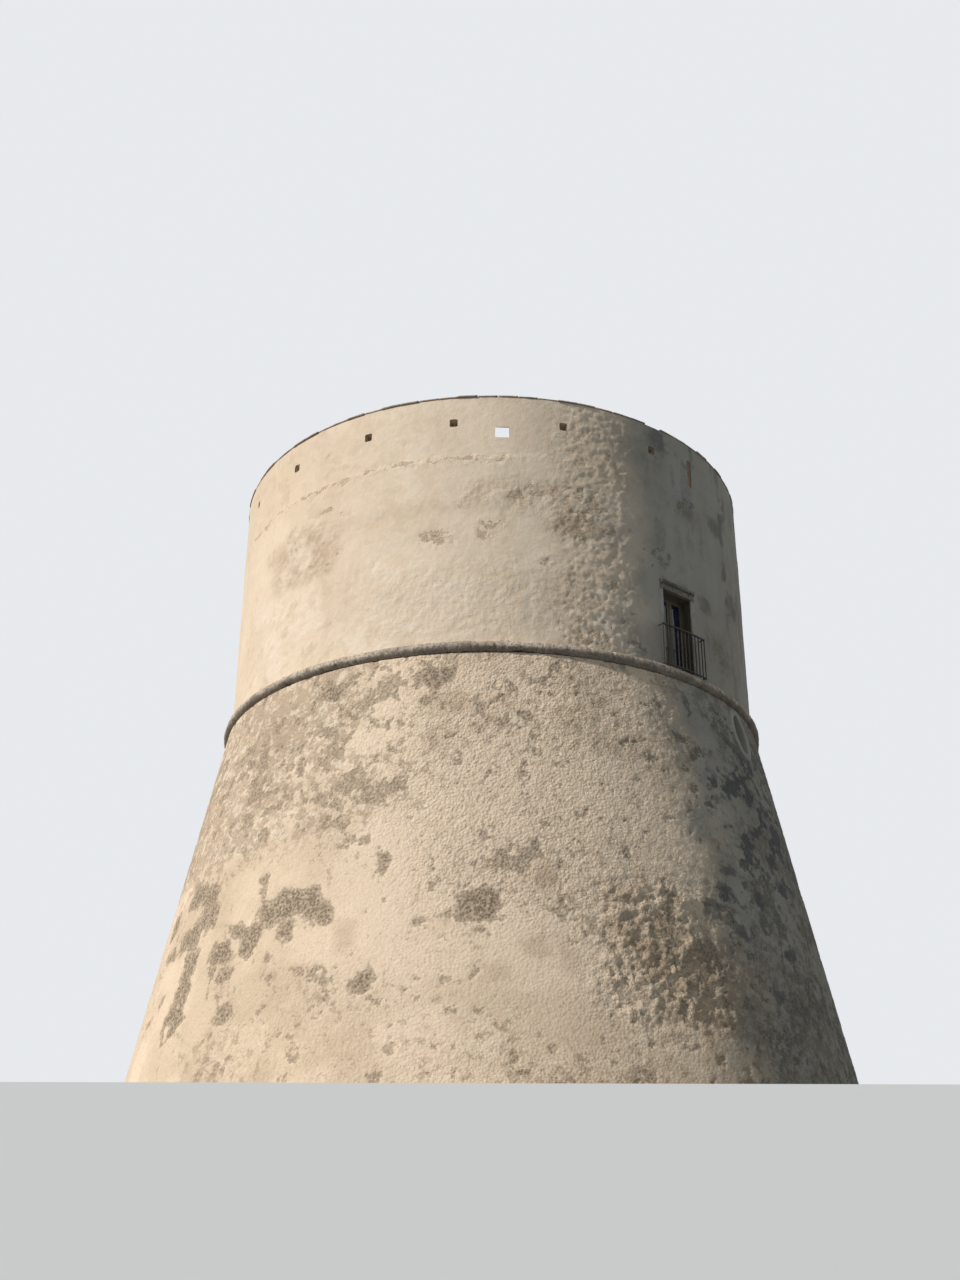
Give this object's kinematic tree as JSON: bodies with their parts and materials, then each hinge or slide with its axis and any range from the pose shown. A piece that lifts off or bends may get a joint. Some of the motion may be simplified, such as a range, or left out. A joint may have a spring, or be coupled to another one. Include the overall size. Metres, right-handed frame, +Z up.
{
  "type": "round watchtower",
  "caption": "Round masonry watchtower with battered base, half-round string course, walled terrace and iron-railed windows.",
  "frame": {"origin": "on the tower's axis at ground level, the middle of the wall base", "axes": "+Z up, -Y towards the side that the picture shows most"},
  "size_m": [17.9998, 18, 17.17],
  "materials": {
    "scarp_render": "rough lime render, pebbly",
    "drum_render": "smooth lime render, weathered",
    "cordon_stone": "weathered limestone",
    "coping_slab": "thin weathered slabs",
    "vault_masonry": "lime plaster on rubble",
    "paving": "worn terracotta tiles",
    "surround_plaster": "lime plaster",
    "dressed_stone": "weathered limestone",
    "joinery": "dark oiled wood",
    "window_glass": "clear pane, dark room behind",
    "wrought_iron": "dull black-brown paint"
  },
  "bodies": {
    "root": {"coping_1": "coping_slab", "coping_2": "coping_slab", "coping_3": "coping_slab", "cordon_1": "cordon_stone", "cordon_2": "cordon_stone", "cordon_3": "cordon_stone", "drum_wall_1": "drum_render", "drum_wall_2": "drum_render", "drum_wall_3": "drum_render", "drum_wall_4": "drum_render", "drum_wall_5": "drum_render", "drum_wall_6": "drum_render", "east_rail_ends": "wrought_iron", "east_rail_front": "wrought_iron", "east_window_frame": "joinery", "east_window_glass": "window_glass", "east_window_left_leaf": "joinery", "east_window_lintel": "dressed_stone", "east_window_right_leaf": "joinery", "east_window_sill": "dressed_stone", "floor_vault_1": "vault_masonry", "floor_vault_2": "vault_masonry", "floor_vault_3": "vault_masonry", "lower_floor": "paving", "oculus_surround": "surround_plaster", "parapet_1": "drum_render", "parapet_2": "drum_render", "parapet_3": "drum_render", "parapet_4": "drum_render", "parapet_5": "drum_render", "parapet_6": "drum_render", "scarp_wall_1": "scarp_render", "scarp_wall_2": "scarp_render", "scarp_wall_3": "scarp_render", "scarp_wall_4": "scarp_render", "scarp_wall_5": "scarp_render", "scarp_wall_6": "scarp_render", "terrace_paving": "paving", "terrace_vault": "vault_masonry", "west_rail_ends": "wrought_iron", "west_rail_front": "wrought_iron", "west_window_frame": "joinery", "west_window_glass": "window_glass", "west_window_left_leaf": "joinery", "west_window_lintel": "dressed_stone", "west_window_right_leaf": "joinery", "west_window_sill": "dressed_stone"}
  },
  "joints": []
}
